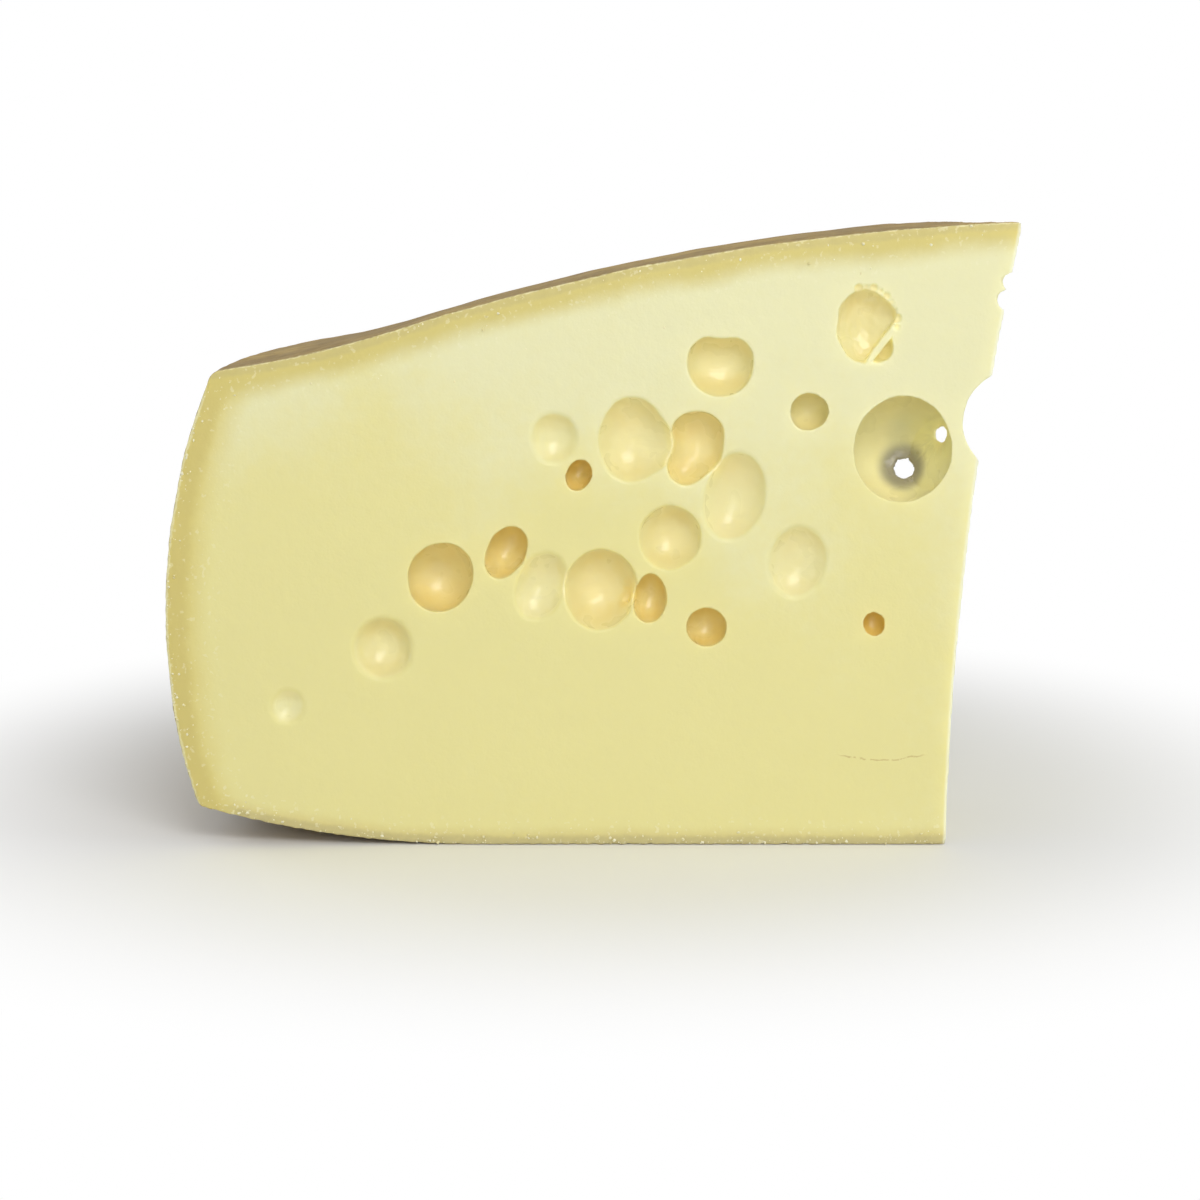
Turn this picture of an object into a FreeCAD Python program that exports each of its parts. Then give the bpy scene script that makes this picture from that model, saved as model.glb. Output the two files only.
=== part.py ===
import FreeCAD, Part
import math
import os

import Sketcher

# A chunk cut from a big wheel of emmental cheese, standing on the wheel's underside.
#
# The chunk is a sector of the wheel between two radial cuts, a front one and a back one.
# A third, oblique cut takes the wheel's middle off at the right. The curved rim, the domed
# top and the underside are rind; the three cuts open the round eyes in the paste.
#
# Frame: +Z up, the front cut faces -Y, the rim is at -X. The origin is the middle of the
# chunk's bounding box on the surface that it stands on. All lengths are in millimetres.

os.makedirs("parts", exist_ok=True)
doc = FreeCAD.newDocument("EmmentalWedge")

# ---------------------------------------------------------------------------------------
# Driving dimensions of the wheel and its three cuts
# ---------------------------------------------------------------------------------------

WHEEL_SIZES = (
    ("rim_radius", 470.5, "radius of the wheel at the belly of its rim"),
    ("crown_height", 255.9, "height of the wheel at its centre"),
    ("chunk_length", 342.7, "front cut, from the rim's belly to the top corner at the right"),
    ("wedge_angle", 29.0, "degrees between the front and the back cut"),
    ("oblique_angle", 59.0, "degrees between the front cut and the oblique cut"),
    ("crown_flat", 150.0, "radius of the nearly level middle of the top"),
    ("crown_round", 2700.0, "radius of curvature of that middle"),
    ("shoulder_reach", 98.0, "from the belly in to where the top's slope starts to ease"),
    ("shoulder_drop", 44.4, "how far that place lies below the crown"),
    ("top_edge_drop", 62.2, "how far the upper edge of the rim lies below the crown"),
    ("rim_round", 257.4, "radius of the rim's bulge"),
    ("belly_height", 91.2, "height of the widest place of the rim"),
    ("bottom_edge_height", 16.4, "height of the lower edge of the rim"),
    ("base_lift_reach", 125.5, "from the belly in to where the underside starts to lift"),
    ("cut_lean", 25.2, "how far the head of the oblique cut stands out past its foot"),
    ("cut_round", 1300.0, "radius of the long hollow in the oblique cut"),
    ("tool_margin", 10.0, "how far the cutting profile runs past the wheel"),
)

sizes = doc.addObject("Spreadsheet::Sheet", "Sizes")
for row, (alias, value, meaning) in enumerate(WHEEL_SIZES, start=1):
    sizes.set(f"A{row}", meaning)
    sizes.set(f"B{row}", str(value))
    sizes.setAlias(f"B{row}", alias)

# Values that follow from the driving ones. The back cut and the oblique cut meet in an
# upright edge, back_edge_radius from the wheel's axis.
DERIVED = (
    ("tip_radius", "=rim_radius - chunk_length"),
    ("foot_radius", "=tip_radius + cut_lean"),
    ("back_edge_radius", "=tip_radius * sin(oblique_angle * 1deg)"
                         " / sin((oblique_angle - wedge_angle) * 1deg)"),
    ("back_length", "=rim_radius - back_edge_radius"),
    ("cut_hollow", "=(crown_height^2 + cut_lean^2) / (8 * cut_round)"),
    ("axis_along", "=rim_radius - chunk_length / 2"),
    ("axis_across", "=-rim_radius * sin(wedge_angle * 1deg) / 2"),
)
for row, (alias, formula) in enumerate(DERIVED, start=len(WHEEL_SIZES) + 2):
    sizes.set(f"A{row}", alias.replace("_", " "))
    sizes.set(f"B{row}", formula)
    sizes.setAlias(f"B{row}", alias)

# ---------------------------------------------------------------------------------------
# The eyes
# ---------------------------------------------------------------------------------------
# Round eyes: place along the cut, level, radius, depth of the centre behind the cut.
# Oval eyes: place, level, half width, half height, half depth, depth of the centre, tilt.
# On the front and the back cut the place is in percent of the cut's length, from the rim;
# on the oblique cut it is in millimetres, back from the front edge. The level is in
# percent of the crown's height. A centre with a negative depth lies outside the cheese,
# so that eye is a shallow dish. The tilt is in degrees, leaning to the right at the top.

FRONT_ROUND = {
    "front_01": (14.3, 22.7, 8.5, -5.2),
    "front_02": (25.7, 32.0, 12.8, -3.6),
    "front_03": (32.4, 43.1, 14.5, 5.5),
    "front_04_tip": (38.9, 44.2, 4.2, 0.5),
    "front_08": (63.7, 35.3, 8.8, 4.0),
    "front_09": (83.5, 35.9, 5.5, 3.6),
    "front_13_upper": (62.5, 65.1, 10.9, 1.5),
    "front_13_lower": (61.5, 61.1, 8.4, 0.5),
    "front_15": (59.4, 49.6, 13.0, -4.0),
    "front_16_left": (64.1, 76.8, 10.3, 1.0),
    "front_16_right": (65.8, 76.2, 11.3, 1.0),
    "front_17": (75.5, 69.5, 8.6, 4.8),
}
FRONT_OVAL = {
    "front_04": (40.1, 47.5, 9.0, 10.8, 12.0, 3.0, 18.0),
    "front_05": (44.4, 41.8, 10.6, 14.6, 8.0, -3.0, 25.0),
    "front_06": (51.3, 41.4, 14.9, 16.6, 14.0, -2.0, 0.0),
    "front_07": (57.1, 40.1, 6.5, 10.1, 10.0, 3.0, 0.0),
    "front_10": (48.7, 59.4, 5.8, 7.0, 7.5, 4.0, 25.0),
    "front_11": (45.8, 65.1, 9.9, 11.4, 7.0, -3.5, 0.0),
    "front_12": (55.2, 65.3, 13.9, 17.5, 13.0, -3.0, 0.0),
    "front_14": (67.0, 56.1, 13.4, 19.0, 10.0, -4.0, 12.0),
    "front_18": (74.4, 45.8, 12.2, 15.9, 9.0, -4.5, 10.0),
    "front_20": (81.9, 82.6, 12.0, 15.6, 10.0, -2.0, 0.0),
}
BACK_ROUND = {
    "back_01": (17.0, 40.0, 9.5, -3.5),
    "back_02": (27.5, 52.5, 13.5, 3.0),
    "back_04": (40.0, 45.0, 15.5, -3.0),
    "back_05": (41.0, 64.0, 7.0, 3.0),
    "back_08": (57.0, 48.0, 8.0, 4.0),
    "back_10": (66.5, 57.5, 14.5, -3.0),
    "back_11": (69.0, 38.5, 10.0, 2.0),
    "back_14": (82.0, 64.0, 6.0, 3.0),
    "back_15": (84.0, 36.0, 13.0, -5.5),
    "back_17": (91.0, 54.0, 8.5, 2.5),
    "back_18": (33.0, 71.0, 5.0, 2.5),
    "back_19": (22.0, 22.5, 7.5, -4.5),
}
BACK_OVAL = {
    "back_03": (30.0, 33.0, 9.0, 12.0, 10.0, 2.0, -15.0),
    "back_06": (49.5, 56.0, 12.5, 10.5, 9.0, -4.0, 0.0),
    "back_07": (52.5, 34.5, 12.0, 15.5, 11.0, -2.0, 12.0),
    "back_09": (59.0, 70.0, 13.5, 11.0, 12.0, 1.0, -20.0),
    "back_12": (73.5, 73.5, 9.5, 11.0, 8.0, -4.0, 0.0),
    "back_13": (78.0, 48.0, 11.0, 14.0, 12.0, 2.5, 10.0),
}
# The big eye lies between the front and the oblique cut and opens through both. Behind
# it, the second eye opens on the oblique cut and meets it in a hole.
CUT_ROUND = {
    "second_eye": (45.4, 56.9, 13.0, 0.0),
    "thin_spot": (25.8, 64.9, 3.3, 0.8),
    "edge_bite": (-0.6, 67.8, 21.0, -12.7),
    "edge_nick": (-0.4, 88.1, 7.5, -4.6),
    "cut_03": (90.0, 63.0, 12.5, -3.5),
    "cut_05": (109.0, 44.0, 7.5, 3.0),
    "cut_06": (28.0, 32.5, 9.0, 2.0),
    "cut_07": (62.0, 79.0, 8.0, 3.0),
}
CUT_OVAL = {
    "big_eye": (25.8, 63.6, 22.0, 23.6, 22.0, 22.6, 0.0),
    "cut_04": (71.0, 41.0, 10.0, 13.5, 11.0, 1.5, -12.0),
    "cut_08": (50.0, 20.5, 9.5, 8.0, 7.0, -3.0, 0.0),
}
ROUND_FIELDS = ("along", "level", "radius", "sunk")
OVAL_FIELDS = ("along", "level", "wide", "tall", "deep", "sunk", "tilt")

eye_sheet = doc.addObject("Spreadsheet::Sheet", "Eyes")
next_eye_row = 1


def list_eye(name, fields, values):
    """Write one eye as one row of the sheet, each value under its own alias."""
    global next_eye_row
    eye_sheet.set(f"A{next_eye_row}", name)
    for column, field, value in zip("BCDEFGH", fields, values):
        cell = f"{column}{next_eye_row}"
        eye_sheet.set(cell, str(value))
        eye_sheet.setAlias(cell, f"{name}_{field}")
    next_eye_row += 1


# A cut is an upright plane: the angle that it is turned by against the front cut, and the
# side of it that the paste is on.
FRONT_CUT = ("0", "1")
BACK_CUT = ("Sizes.wedge_angle", "-1")
OBLIQUE_CUT = ("Sizes.oblique_angle", "-1")


def eye_placement(name, cut, tilt):
    """The expression that puts an eye on its cut, in the frame of the wheel's axis.

    The eye's own Z axis ends up pointing out of the cheese, its X axis along the cut.
    """
    turn, side = cut
    along = f"Eyes.{name}_along"
    share = f"Eyes.{name}_level / 100"
    if cut == FRONT_CUT:
        start_x = "0"
        reach = f"(Sizes.rim_radius - {along} / 100 * Sizes.chunk_length)"
    elif cut == BACK_CUT:
        start_x = "0"
        reach = f"(Sizes.rim_radius - {along} / 100 * Sizes.back_length)"
    else:
        hollow = f"4 * Sizes.cut_hollow * {share} * (1 - {share})"
        start_x = f"-(Sizes.foot_radius - Sizes.cut_lean * {share} + {hollow})"
        reach = along
    sine = f"sin({turn} * 1deg)"
    cosine = f"cos({turn} * 1deg)"
    inward = f"{side} * Eyes.{name}_sunk"
    x = f"{start_x} - {reach} * {cosine} + {inward} * {sine}"
    y = f"{reach} * {sine} + {inward} * {cosine}"
    z = f"Sizes.crown_height * {share}"
    return f"placement(vector({x}; {y}; {z}); rotation(-{turn} * 1deg; {tilt} * 1deg; 90deg))"


def round_eyes(table, cut):
    """One sphere for each round eye of a cut."""
    eyes = []
    for name, values in table.items():
        list_eye(name, ROUND_FIELDS, values)
        eye = doc.addObject("Part::Sphere", name)
        eye.setExpression("Radius", f"Eyes.{name}_radius")
        eye.setExpression("Placement", eye_placement(name, cut, "0"))
        eyes.append(eye)
    return eyes


def oval_eyes(table, cut):
    """One ellipsoid for each oval eye of a cut, with its poles at the deepest places."""
    eyes = []
    for name, values in table.items():
        list_eye(name, OVAL_FIELDS, values)
        eye = doc.addObject("Part::Ellipsoid", name)
        eye.setExpression("Radius1", f"Eyes.{name}_deep")
        eye.setExpression("Radius2", f"Eyes.{name}_wide")
        eye.setExpression("Radius3", f"Eyes.{name}_tall")
        eye.setExpression("Placement", eye_placement(name, cut, f"Eyes.{name}_tilt"))
        eyes.append(eye)
    return eyes


# ---------------------------------------------------------------------------------------
# The sector of the wheel, in the frame of the wheel's axis
# ---------------------------------------------------------------------------------------

doc.recompute()
body = doc.addObject("PartDesign::Body", "WheelSector")


def front_plane_sketch(name):
    """A sketch in the plane of the front cut: sketch X runs along it, sketch Y is up."""
    planes = body.Origin.OriginFeatures
    plane = next(feature for feature in planes if feature.Role == "XZ_Plane")
    sketch = body.newObject("Sketcher::SketchObject", name)
    sketch.AttachmentSupport = [(plane, "")]
    sketch.MapMode = "FlatFace"
    return sketch


def arc_about(centre, start, end):
    """The arc that turns counter-clockwise about a centre, from one point to another."""
    first = math.atan2(start.y - centre.y, start.x - centre.x)
    last = math.atan2(end.y - centre.y, end.x - centre.x)
    if last < first:
        last += 2 * math.pi
    circle = Part.Circle(centre, FreeCAD.Vector(0, 0, 1), (start - centre).Length)
    return Part.ArcOfCircle(circle, first, last)


def centre_beyond(point, towards, other):
    """Centre of the arc that has the normal `towards` at one point and passes another."""
    chord = other - point
    return point + towards * (chord.dot(chord) / (2 * chord.dot(towards)))


def unit(vector):
    return vector / vector.Length


def bind(sketch, kind, references, expression):
    """Add a driving constraint and tie it to the sheet."""
    doc.recompute()
    value = sketch.evalExpression(expression)
    index = sketch.addConstraint(Sketcher.Constraint(kind, *references, float(value)))
    sketch.setExpression(f"Constraints[{index}]", expression)


START, END, CENTRE = 1, 2, 3
ORIGIN_POINT = (-1, 1)
VERTICAL_AXIS = -2

# Half section of the wheel, from the axis out to the rim at the left. The arcs are, from
# the axis: the crown, the shoulder, the easing slope, the rim and the lifted underside.
rim_radius = sizes.rim_radius
crown_height = sizes.crown_height
apex = FreeCAD.Vector(0, crown_height)
crown_centre = apex - FreeCAD.Vector(0, sizes.crown_round)
crown_swing = math.asin(sizes.crown_flat / sizes.crown_round)
crown_end = crown_centre + FreeCAD.Vector(-math.sin(crown_swing), math.cos(crown_swing)) * (
    sizes.crown_round)
shoulder_end = FreeCAD.Vector(sizes.shoulder_reach - rim_radius,
                              crown_height - sizes.shoulder_drop)
rim_centre = FreeCAD.Vector(sizes.rim_round - rim_radius, sizes.belly_height)


def on_rim(height):
    """The point of the rim's arc at a height."""
    rise = height - sizes.belly_height
    return FreeCAD.Vector(rim_centre.x - math.sqrt(sizes.rim_round ** 2 - rise ** 2), height)


top_edge = on_rim(crown_height - sizes.top_edge_drop)
bottom_edge = on_rim(sizes.bottom_edge_height)
base_end = FreeCAD.Vector(sizes.base_lift_reach - rim_radius, 0)
shoulder_centre = centre_beyond(crown_end, unit(crown_centre - crown_end), shoulder_end)
slope_centre = centre_beyond(shoulder_end, unit(shoulder_end - shoulder_centre), top_edge)
lift_centre = centre_beyond(base_end, FreeCAD.Vector(0, 1), bottom_edge)

section = front_plane_sketch("WheelSection")
CROWN, SHOULDER, SLOPE, RIM, LIFT, BASE, AXIS = section.addGeometry([
    arc_about(crown_centre, apex, crown_end),
    arc_about(shoulder_centre, crown_end, shoulder_end),
    arc_about(slope_centre, top_edge, shoulder_end),
    arc_about(rim_centre, top_edge, bottom_edge),
    arc_about(lift_centre, bottom_edge, base_end),
    Part.LineSegment(base_end, FreeCAD.Vector(0, 0)),
    Part.LineSegment(FreeCAD.Vector(0, 0), apex),
])
section.addConstraint([
    Sketcher.Constraint("Tangent", CROWN, END, SHOULDER, START),
    Sketcher.Constraint("Tangent", SHOULDER, END, SLOPE, END),
    Sketcher.Constraint("Coincident", SLOPE, START, RIM, START),
    Sketcher.Constraint("Coincident", RIM, END, LIFT, START),
    Sketcher.Constraint("Tangent", LIFT, END, BASE, START),
    Sketcher.Constraint("Coincident", BASE, END, *ORIGIN_POINT),
    Sketcher.Constraint("Coincident", AXIS, START, *ORIGIN_POINT),
    Sketcher.Constraint("Coincident", AXIS, END, CROWN, START),
    Sketcher.Constraint("Horizontal", BASE),
    Sketcher.Constraint("Vertical", AXIS),
    Sketcher.Constraint("PointOnObject", CROWN, CENTRE, VERTICAL_AXIS),
])
bind(section, "DistanceY", (*ORIGIN_POINT, CROWN, START), "Sizes.crown_height")
bind(section, "Radius", (CROWN,), "Sizes.crown_round")
bind(section, "DistanceX", (CROWN, END, *ORIGIN_POINT), "Sizes.crown_flat")
bind(section, "DistanceX", (SHOULDER, END, *ORIGIN_POINT),
     "Sizes.rim_radius - Sizes.shoulder_reach")
bind(section, "DistanceY", (*ORIGIN_POINT, SHOULDER, END),
     "Sizes.crown_height - Sizes.shoulder_drop")
bind(section, "DistanceY", (*ORIGIN_POINT, RIM, START),
     "Sizes.crown_height - Sizes.top_edge_drop")
bind(section, "Radius", (RIM,), "Sizes.rim_round")
bind(section, "DistanceX", (RIM, CENTRE, *ORIGIN_POINT), "Sizes.rim_radius - Sizes.rim_round")
bind(section, "DistanceY", (*ORIGIN_POINT, RIM, CENTRE), "Sizes.belly_height")
bind(section, "DistanceY", (*ORIGIN_POINT, RIM, END), "Sizes.bottom_edge_height")
bind(section, "DistanceX", (BASE, START, *ORIGIN_POINT),
     "Sizes.rim_radius - Sizes.base_lift_reach")
doc.recompute()

sector = body.newObject("PartDesign::Revolution", "Sector")
sector.Profile = section
sector.ReferenceAxis = (section, ["V_Axis"])
sector.setExpression("Angle", "Sizes.wedge_angle * 1deg")
sector.Reversed = True
doc.recompute()
whole_sector_volume = body.Shape.Volume

# The oblique cut: everything to the right of a slightly hollow, leaning edge, swept back
# and to the left.
foot = FreeCAD.Vector(-sizes.foot_radius, 0)
head = FreeCAD.Vector(-sizes.tip_radius, crown_height)
halfway = (foot + head) / 2
outward = unit(FreeCAD.Vector(head.y - foot.y, foot.x - head.x))
half_edge = (head - foot).Length / 2
edge_centre = halfway + outward * math.sqrt(sizes.cut_round ** 2 - half_edge ** 2)
low = -sizes.tool_margin
high = crown_height + sizes.tool_margin
far = sizes.tool_margin
corners = [
    foot,
    FreeCAD.Vector(foot.x, low),
    FreeCAD.Vector(far, low),
    FreeCAD.Vector(far, high),
    FreeCAD.Vector(head.x, high),
    head,
]
offcut = front_plane_sketch("OffcutOutline")
EDGE, DOWN, UNDER, SIDE, OVER, UP = offcut.addGeometry(
    [arc_about(edge_centre, head, foot)]
    + [Part.LineSegment(one, other) for one, other in zip(corners, corners[1:])]
)
offcut.addConstraint([
    Sketcher.Constraint("Coincident", EDGE, END, DOWN, START),
    Sketcher.Constraint("Coincident", DOWN, END, UNDER, START),
    Sketcher.Constraint("Coincident", UNDER, END, SIDE, START),
    Sketcher.Constraint("Coincident", SIDE, END, OVER, START),
    Sketcher.Constraint("Coincident", OVER, END, UP, START),
    Sketcher.Constraint("Coincident", UP, END, EDGE, START),
    Sketcher.Constraint("Vertical", DOWN),
    Sketcher.Constraint("Horizontal", UNDER),
    Sketcher.Constraint("Vertical", SIDE),
    Sketcher.Constraint("Horizontal", OVER),
    Sketcher.Constraint("Vertical", UP),
    Sketcher.Constraint("PointOnObject", EDGE, END, -1),
])
bind(offcut, "DistanceX", (EDGE, START, *ORIGIN_POINT), "Sizes.tip_radius")
bind(offcut, "DistanceY", (*ORIGIN_POINT, EDGE, START), "Sizes.crown_height")
bind(offcut, "DistanceX", (EDGE, END, *ORIGIN_POINT), "Sizes.foot_radius")
bind(offcut, "Radius", (EDGE,), "Sizes.cut_round")
bind(offcut, "DistanceY", (UNDER, END, *ORIGIN_POINT), "Sizes.tool_margin")
bind(offcut, "DistanceX", (*ORIGIN_POINT, SIDE, START), "Sizes.tool_margin")
bind(offcut, "DistanceY", (*ORIGIN_POINT, SIDE, END), "Sizes.crown_height + Sizes.tool_margin")
doc.recompute()

oblique_cut = body.newObject("PartDesign::Pocket", "ObliqueCut")
oblique_cut.Profile = offcut
oblique_cut.AlongSketchNormal = False
oblique_cut.UseCustomVector = True
oblique_cut.setExpression("Direction.x", "-cos(Sizes.oblique_angle * 1deg)")
oblique_cut.setExpression("Direction.y", "sin(Sizes.oblique_angle * 1deg)")
oblique_cut.setExpression("Direction.z", "0")
oblique_cut.setExpression("Length", "Sizes.rim_radius")
doc.recompute()
if not body.Shape.Volume < 0.99 * whole_sector_volume:
    raise RuntimeError("the oblique cut takes nothing off the sector")

# ---------------------------------------------------------------------------------------
# The cheese: the sector without its eyes, moved to its own frame
# ---------------------------------------------------------------------------------------

eyes = doc.addObject("Part::MultiFuse", "AllEyes")
eyes.Shapes = (
    round_eyes(FRONT_ROUND, FRONT_CUT)
    + oval_eyes(FRONT_OVAL, FRONT_CUT)
    + round_eyes(BACK_ROUND, BACK_CUT)
    + oval_eyes(BACK_OVAL, BACK_CUT)
    + round_eyes(CUT_ROUND, OBLIQUE_CUT)
    + oval_eyes(CUT_OVAL, OBLIQUE_CUT)
)

cheese = doc.addObject("Part::Cut", "Cheese")
cheese.Base = body
cheese.Tool = eyes
cheese.Label = "emmental_wedge"
cheese.setExpression("Placement.Base.x", "Sizes.axis_along")
cheese.setExpression("Placement.Base.y", "Sizes.axis_across")
doc.recompute()

# ---------------------------------------------------------------------------------------
# Check every object, then write the sub-part
# ---------------------------------------------------------------------------------------

for item in doc.Objects:
    if "Invalid" in item.State or "Error" in item.State:
        raise RuntimeError(f"{item.Label} did not build: {item.State}")
for sub_part in (cheese,):
    shape = sub_part.Shape
    if shape.isNull() or not shape.isValid() or len(shape.Solids) != 1:
        raise RuntimeError(f"{sub_part.Label} is not one valid solid")
    shape.exportStep(f"parts/{sub_part.Label}.step")
    box = shape.BoundBox
    print(f"{sub_part.Label}: {box.XLength:.1f} x {box.YLength:.1f} x {box.ZLength:.1f} mm,"
          f" {shape.Volume / 1e6:.3f} litres")
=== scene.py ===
import math

import bmesh
import bpy
import numpy as np
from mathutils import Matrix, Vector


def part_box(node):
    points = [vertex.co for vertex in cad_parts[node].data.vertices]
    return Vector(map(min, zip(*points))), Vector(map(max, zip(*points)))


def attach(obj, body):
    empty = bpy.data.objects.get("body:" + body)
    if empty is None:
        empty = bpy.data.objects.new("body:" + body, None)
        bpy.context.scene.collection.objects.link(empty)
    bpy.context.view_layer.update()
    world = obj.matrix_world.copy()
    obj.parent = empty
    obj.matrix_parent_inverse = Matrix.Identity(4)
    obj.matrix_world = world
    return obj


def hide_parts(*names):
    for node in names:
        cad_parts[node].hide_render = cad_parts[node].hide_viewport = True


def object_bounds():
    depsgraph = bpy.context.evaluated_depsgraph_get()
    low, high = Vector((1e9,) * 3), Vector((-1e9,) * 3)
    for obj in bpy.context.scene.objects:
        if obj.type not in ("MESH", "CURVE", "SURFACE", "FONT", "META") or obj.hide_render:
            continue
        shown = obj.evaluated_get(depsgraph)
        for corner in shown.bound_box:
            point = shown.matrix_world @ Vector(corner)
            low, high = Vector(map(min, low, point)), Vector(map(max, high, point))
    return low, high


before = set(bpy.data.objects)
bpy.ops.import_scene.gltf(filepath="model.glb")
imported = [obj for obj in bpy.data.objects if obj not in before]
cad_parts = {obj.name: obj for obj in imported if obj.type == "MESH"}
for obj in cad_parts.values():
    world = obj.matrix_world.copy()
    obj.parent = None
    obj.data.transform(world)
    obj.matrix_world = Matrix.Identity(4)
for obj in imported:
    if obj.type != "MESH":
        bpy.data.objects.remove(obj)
cad_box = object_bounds()

# Camera
# --------------------------------------------------
# It stands a good metre in front of the front cut, a little above the cheese, and looks
# slightly down at it, square to that cut.

CAMERA_REACH = 1.1
CAMERA_RIGHT = 0.00415
CAMERA_HEIGHT = 0.29956
CAMERA_TILT = 79.803
CAMERA_LENS = 83.39

cad_low, cad_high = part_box("emmental_wedge")
camera = bpy.data.objects.new("camera", bpy.data.cameras.new("camera"))
camera.location = (CAMERA_RIGHT, cad_low.y - CAMERA_REACH, CAMERA_HEIGHT)
camera.rotation_euler = (math.radians(CAMERA_TILT), 0, 0)
camera.data.lens = CAMERA_LENS
bpy.context.scene.collection.objects.link(camera)
bpy.context.scene.camera = camera

# The wheel that the chunk is cut from
# --------------------------------------------------
# Its half section is a chain of arcs: a nearly flat crown, a round shoulder that eases
# into the slope of the top edge, the bulging rim, and an underside that lifts at the rim.
# The shapes are worked out in millimetres, each surface as a depth: how far a point lies
# outside it, negative inside the cheese.

MM = 0.001
RIM_RADIUS = 470.5
CROWN_HEIGHT = 255.9
CROWN_FLAT = 150.0
CROWN_ROUND = 2700.0
SHOULDER_REACH = 98.0
SHOULDER_DROP = 44.4
TOP_EDGE_DROP = 62.2
RIM_ROUND = 257.4
BELLY_HEIGHT = 91.2
BOTTOM_EDGE_HEIGHT = 16.4
BASE_LIFT_REACH = 125.5
TOP_EDGE_WORN = 3.0
BOTTOM_EDGE_WORN = 2.5
RIND_SWELL = 0.25
RIND_SWELL_LONG = 42.0
RIND_RIPPLE = 0.12
RIND_RIPPLE_LONG = 13.0

lowest = np.array(cad_low) / MM
highest = np.array(cad_high) / MM
axis_x = lowest[0] + RIM_RADIUS
axis_y = lowest[1]


def unit(vector):
    return np.asarray(vector) / np.linalg.norm(vector)


def centre_beyond(point, towards, other):
    """Centre of the arc that has the normal `towards` at one point and passes another."""
    chord = np.subtract(other, point)
    return point + towards * (chord @ chord / (2 * chord @ towards))


# Centres of the arcs, as distance from the wheel's axis and height.
crown_centre = np.array([0.0, CROWN_HEIGHT - CROWN_ROUND])
crown_swing = math.asin(CROWN_FLAT / CROWN_ROUND)
crown_end = crown_centre + CROWN_ROUND * np.array([math.sin(crown_swing), math.cos(crown_swing)])
shoulder_end = np.array([RIM_RADIUS - SHOULDER_REACH, CROWN_HEIGHT - SHOULDER_DROP])
rim_centre = np.array([RIM_RADIUS - RIM_ROUND, BELLY_HEIGHT])
top_rise = CROWN_HEIGHT - TOP_EDGE_DROP - BELLY_HEIGHT
bottom_rise = BOTTOM_EDGE_HEIGHT - BELLY_HEIGHT
top_edge = rim_centre + [math.sqrt(RIM_ROUND ** 2 - top_rise ** 2), top_rise]
bottom_edge = rim_centre + [math.sqrt(RIM_ROUND ** 2 - bottom_rise ** 2), bottom_rise]
base_end = np.array([RIM_RADIUS - BASE_LIFT_REACH, 0.0])
shoulder_centre = centre_beyond(crown_end, unit(crown_centre - crown_end), shoulder_end)
slope_centre = centre_beyond(shoulder_end, unit(shoulder_end - shoulder_centre), top_edge)
lift_centre = centre_beyond(base_end, np.array([0.0, 1.0]), bottom_edge)
shoulder_round = np.linalg.norm(shoulder_end - shoulder_centre)
slope_round = np.linalg.norm(top_edge - slope_centre)
lift_round = np.linalg.norm(bottom_edge - lift_centre)


def wander(points, wavelength, seed, waves=5):
    """A smooth random field, mostly between -1 and 1: a few plane waves added up."""
    pick = np.random.default_rng(seed)
    directions = pick.normal(size=(waves, 3))
    directions /= np.linalg.norm(directions, axis=1, keepdims=True)
    turns = 2 * math.pi / (wavelength * pick.uniform(0.7, 1.4, waves))
    starts = pick.uniform(0, 2 * math.pi, waves)
    field = 0.0
    for direction, turn, start in zip(directions, turns, starts):
        field = field + np.sin(points @ (direction * turn).astype(points.dtype) + start)
    return field * (1.3 / waves)


def past_line(first, second, along, up):
    """True for places on the rim's side of the line from one point through another."""
    return (along - first[0]) * (second[1] - first[1]) > (up - first[1]) * (second[0] - first[0])


def rind_depths(points):
    """Depths under the top, behind the rim and above the underside."""
    away = np.hypot(points[:, 0] - axis_x, points[:, 1] - axis_y)
    up = points[:, 2]
    crown = np.hypot(away - crown_centre[0], up - crown_centre[1]) - CROWN_ROUND
    shoulder = np.hypot(away - shoulder_centre[0], up - shoulder_centre[1]) - shoulder_round
    slope = slope_round - np.hypot(away - slope_centre[0], up - slope_centre[1])
    lift = np.hypot(away - lift_centre[0], up - lift_centre[1]) - lift_round
    top = np.where(past_line(crown_centre, crown_end, away, up), shoulder, crown)
    top = np.where(past_line(shoulder_centre, shoulder_end, away, up), slope, top)
    rim = np.hypot(np.maximum(away - rim_centre[0], 0), up - rim_centre[1]) - RIM_ROUND
    under = np.where(away > base_end[0], lift, -up)
    ripple = RIND_RIPPLE * wander(points, RIND_RIPPLE_LONG, seed=2)
    swell = RIND_SWELL + RIND_SWELL * wander(points, RIND_SWELL_LONG, seed=1) + ripple
    return top + swell, rim + swell, under


# The three cuts
# --------------------------------------------------
# The front and the back cut are radial. The oblique one takes the wheel's middle off at
# the right and is slightly hollow. A wire cut them, so they wander by a hair, and their
# corners are only just broken.

WEDGE_ANGLE = 29.0
OBLIQUE_ANGLE = 59.0
CHUNK_LENGTH = 342.7
CUT_LEAN = 25.2
CUT_ROUND = 1300.0
CUT_CORNER = 0.55
RIND_CORNER = 0.7
WIRE_BITE = 0.12
WIRE_DRIFT = 0.1
WIRE_DRIFT_LONG = 60.0
WIRE_RIPPLE = 0.04
WIRE_RIPPLE_LONG = 17.0
CRUMBLE = 0.22
CRUMBLE_REACH = 4.5
CRUMBLE_LONG = 3.1

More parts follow.
